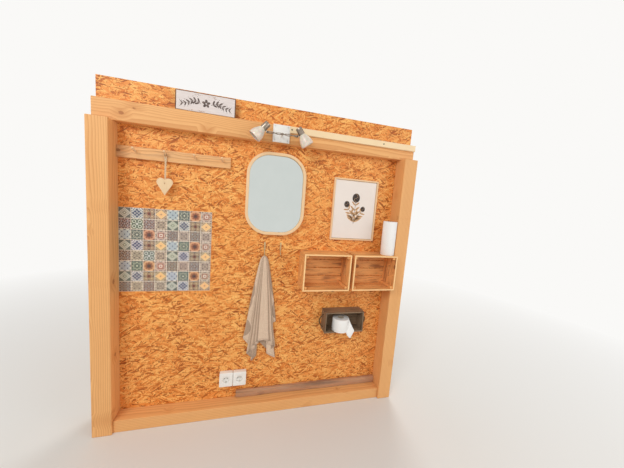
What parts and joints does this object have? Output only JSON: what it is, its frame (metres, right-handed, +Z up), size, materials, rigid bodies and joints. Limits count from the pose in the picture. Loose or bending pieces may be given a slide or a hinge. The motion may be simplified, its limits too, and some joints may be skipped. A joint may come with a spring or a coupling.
{
  "type": "hut end wall",
  "caption": "End wall of a small timber hut: strand board between two posts, with tiles, mirror, twin lamp, hooks, crate shelves and sockets.",
  "frame": {"origin": "middle of the bottom plate's underside, at floor level", "axes": "+X along the wall to the right as seen from the room, +Y out through the wall, +Z up"},
  "size_m": [1.862, 0.264, 1.946],
  "materials": {
    "planed_timber": "planed softwood with knots, honey coloured",
    "frame_timber": "sawn softwood studs and plates",
    "strand_board": "oriented strand board, orange-brown strands",
    "aged_board": "old grey-brown reclaimed board",
    "roll_box_wood": "dark weathered crate wood",
    "rope": "twisted jute rope",
    "patterned_tile": "patchwork of small patterned tiles, satin glaze",
    "pale_wood": "pale planed wood, clear varnish",
    "mirror": "silvered flat glass",
    "print": "matt off-white print",
    "whitewash": "whitewashed board with dark brown edges",
    "driftwood": "weathered pale wood",
    "ribbon": "natural woven ribbon",
    "white_plastic": "satin white plastic",
    "steel": "brushed nickel-plated steel",
    "frosted_glass": "acid-frosted warm white glass",
    "brass": "lacquered brass",
    "linen": "washed beige-grey linen",
    "crate_wood": "honey-brown waxed crate wood",
    "tissue": "soft white embossed tissue"
  },
  "bodies": {
    "root": {"bottom_plate": "frame_timber", "top_plate": "frame_timber", "left_end_stud": "frame_timber", "right_end_stud": "frame_timber", "joint_stud": "frame_timber", "lining": "strand_board", "back_sheet_left": "strand_board", "back_sheet_right": "strand_board", "left_post": "planed_timber", "right_post": "planed_timber", "top_rail": "planed_timber", "sole_beam": "planed_timber", "weathered_strip": "aged_board", "back_trim_left": "planed_timber", "back_trim_right": "planed_timber", "back_rail": "planed_timber", "back_foot_board": "planed_timber", "tile_panel": "patterned_tile", "mirror_frame": "pale_wood", "mirror_glass": "mirror", "picture_frame": "pale_wood", "picture_print": "print", "sign_board": "whitewash", "peg_rail": "driftwood", "heart": "pale_wood", "heart_ribbon": "ribbon", "light_plate": "white_plastic", "light_bar": "steel", "cable_duct": "white_plastic", "left_hook": "brass", "right_hook": "brass", "towel": "linen", "left_crate": "crate_wood", "right_crate": "crate_wood", "kitchen_roll": "tissue", "roll_box": "roll_box_wood", "box_handle_left": "rope", "box_handle_right": "rope", "toilet_roll": "tissue", "left_socket": "white_plastic", "right_socket": "white_plastic"},
    "left_lamp": {"left_holder": "steel", "left_shade": "frosted_glass"},
    "right_lamp": {"right_holder": "steel", "right_shade": "frosted_glass"}
  },
  "joints": [
    {"name": "left_tilt", "type": "hinge", "parent": "root", "child": "left_lamp", "pos_m": [-0.07, -0.155, 1.762], "axis": [0, 1, 0], "range_deg": [-42, 28]},
    {"name": "right_tilt", "type": "hinge", "parent": "root", "child": "right_lamp", "pos_m": [0.106, -0.155, 1.762], "axis": [0, 1, 0], "range_deg": [-35, 35]}
  ]
}
